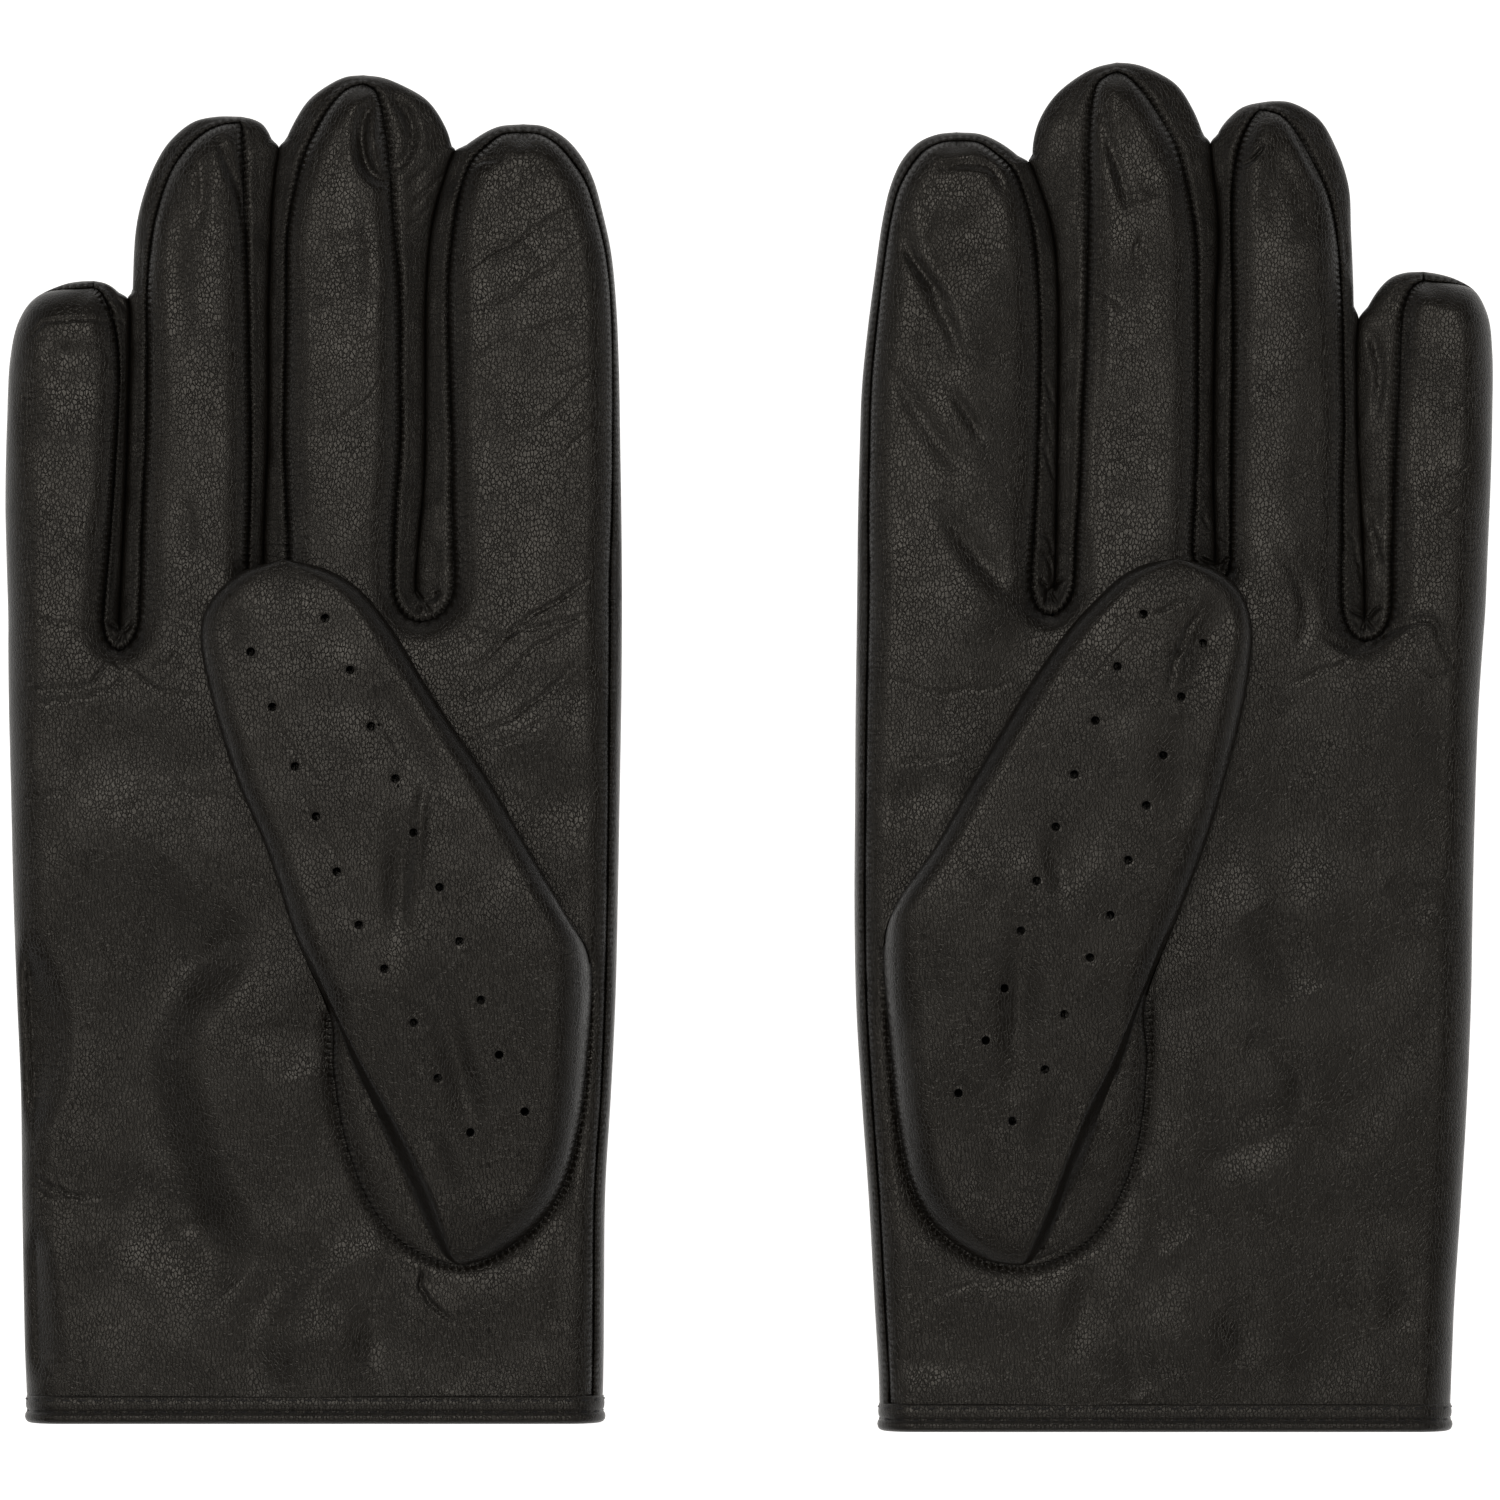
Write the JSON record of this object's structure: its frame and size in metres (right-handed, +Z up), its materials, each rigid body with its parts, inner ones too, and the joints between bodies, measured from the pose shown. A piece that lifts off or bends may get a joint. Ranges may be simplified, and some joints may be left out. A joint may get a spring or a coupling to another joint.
{
  "type": "pair of leather driving gloves",
  "caption": "Pair of unlined leather driving gloves lying palm up, thumbs folded over the palms, with punched thumbs and finger backs, an oval wrist vent and a strap with a press stud.",
  "frame": {"origin": "middle of the pair's footprint, on the surface that the gloves lie on", "axes": "+X from the right-hand glove towards the left-hand glove, +Y from the cuffs towards the fingertips, +Z up out of the palms"},
  "size_m": [0.258, 0.2372, 0.0198],
  "materials": {
    "leather": "satin black-brown fine-grained glove leather",
    "leather_inset": "satin black-brown glove leather of the side strips and bindings",
    "thread": "dark waxed sewing thread",
    "snap_metal": "black enamelled press stud"
  },
  "bodies": {
    "right_hand": {"right_palm_panel": "leather", "right_back_panel": "leather", "right_outer_fold": "leather", "right_side_seam_wall": "leather", "right_crotch_gussets": "leather_inset", "right_cuff_binding": "leather", "right_vent_binding": "leather_inset", "right_thumb_base": "leather", "right_strap_anchor": "leather", "right_snap_stud": "snap_metal", "right_cuff_thread": "thread", "right_thumb_thread": "thread"},
    "right_index": {"right_index_front": "leather", "right_index_back": "leather", "right_index_fourchette": "leather_inset"},
    "right_middle": {"right_middle_front": "leather", "right_middle_back": "leather", "right_middle_fourchettes": "leather_inset"},
    "right_ring": {"right_ring_front": "leather", "right_ring_back": "leather", "right_ring_fourchettes": "leather_inset"},
    "right_little": {"right_little_front": "leather", "right_little_back": "leather", "right_little_fourchette": "leather_inset"},
    "right_thumb": {"right_thumb_front": "leather", "right_thumb_back": "leather", "right_thumb_side_band": "leather_inset"},
    "right_strap": {"right_wrist_strap": "leather", "right_snap_cap": "snap_metal", "right_snap_socket": "snap_metal"},
    "left_hand": {"left_palm_panel": "leather", "left_back_panel": "leather", "left_outer_fold": "leather", "left_side_seam_wall": "leather", "left_crotch_gussets": "leather_inset", "left_cuff_binding": "leather", "left_vent_binding": "leather_inset", "left_thumb_base": "leather", "left_strap_anchor": "leather", "left_snap_stud": "snap_metal", "left_cuff_thread": "thread", "left_thumb_thread": "thread"},
    "left_index": {"left_index_front": "leather", "left_index_back": "leather", "left_index_fourchette": "leather_inset"},
    "left_middle": {"left_middle_front": "leather", "left_middle_back": "leather", "left_middle_fourchettes": "leather_inset"},
    "left_ring": {"left_ring_front": "leather", "left_ring_back": "leather", "left_ring_fourchettes": "leather_inset"},
    "left_little": {"left_little_front": "leather", "left_little_back": "leather", "left_little_fourchette": "leather_inset"},
    "left_thumb": {"left_thumb_front": "leather", "left_thumb_back": "leather", "left_thumb_side_band": "leather_inset"},
    "left_strap": {"left_wrist_strap": "leather", "left_snap_cap": "snap_metal", "left_snap_socket": "snap_metal"}
  },
  "joints": [
    {"name": "right_index_flex", "type": "hinge", "parent": "right_hand", "child": "right_index", "pos_m": [-0.0396, 0.029, 0.0126], "axis": [1, 0, 0], "range_deg": [0, 90]},
    {"name": "right_middle_flex", "type": "hinge", "parent": "right_hand", "child": "right_middle", "pos_m": [-0.0706, 0.035, 0.0126], "axis": [0.9993, -0.0379, 0], "range_deg": [0, 90]},
    {"name": "right_ring_flex", "type": "hinge", "parent": "right_hand", "child": "right_ring", "pos_m": [-0.0962, 0.034, 0.0126], "axis": [0.9971, -0.0765, 0], "range_deg": [0, 90]},
    {"name": "right_little_flex", "type": "hinge", "parent": "right_hand", "child": "right_little", "pos_m": [-0.119, 0.022, 0.0126], "axis": [0.9982, -0.0592, 0], "range_deg": [0, 90]},
    {"name": "right_thumb_lift", "type": "hinge", "parent": "right_hand", "child": "right_thumb", "pos_m": [-0.0504, -0.04055, 0.02], "axis": [0.981, 0.194, 0], "range_deg": [0, 80]},
    {"name": "right_strap_open", "type": "hinge", "parent": "right_hand", "child": "right_strap", "pos_m": [-0.05335, -0.1008, 0.0008], "axis": [0, -1, 0], "range_deg": [0, 150]},
    {"name": "left_index_flex", "type": "hinge", "parent": "left_hand", "child": "left_index", "pos_m": [0.0357, 0.0296, 0.0126], "axis": [0.9999, -0.0166, 0], "range_deg": [0, 90]},
    {"name": "left_middle_flex", "type": "hinge", "parent": "left_hand", "child": "left_middle", "pos_m": [0.0669, 0.0356, 0.0126], "axis": [0.9999, 0.0107, 0], "range_deg": [0, 90]},
    {"name": "left_ring_flex", "type": "hinge", "parent": "left_hand", "child": "left_ring", "pos_m": [0.0935, 0.0356, 0.0126], "axis": [0.9994, 0.0333, 0], "range_deg": [0, 90]},
    {"name": "left_little_flex", "type": "hinge", "parent": "left_hand", "child": "left_little", "pos_m": [0.1176, 0.0236, 0.0126], "axis": [1, 0.0068, 0], "range_deg": [0, 90]},
    {"name": "left_thumb_lift", "type": "hinge", "parent": "left_hand", "child": "left_thumb", "pos_m": [0.0464, -0.038, 0.02], "axis": [0.9807, -0.1953, 0], "range_deg": [0, 80]},
    {"name": "left_strap_open", "type": "hinge", "parent": "left_hand", "child": "left_strap", "pos_m": [0.05025, -0.1022, 0.0008], "axis": [0, 1, 0], "range_deg": [0, 150]},
    {"name": "left_glove_apart", "type": "slide", "parent": "right_hand", "child": "left_hand", "axis": [1, 0, 0], "range_m": [0, 0.1]}
  ]
}
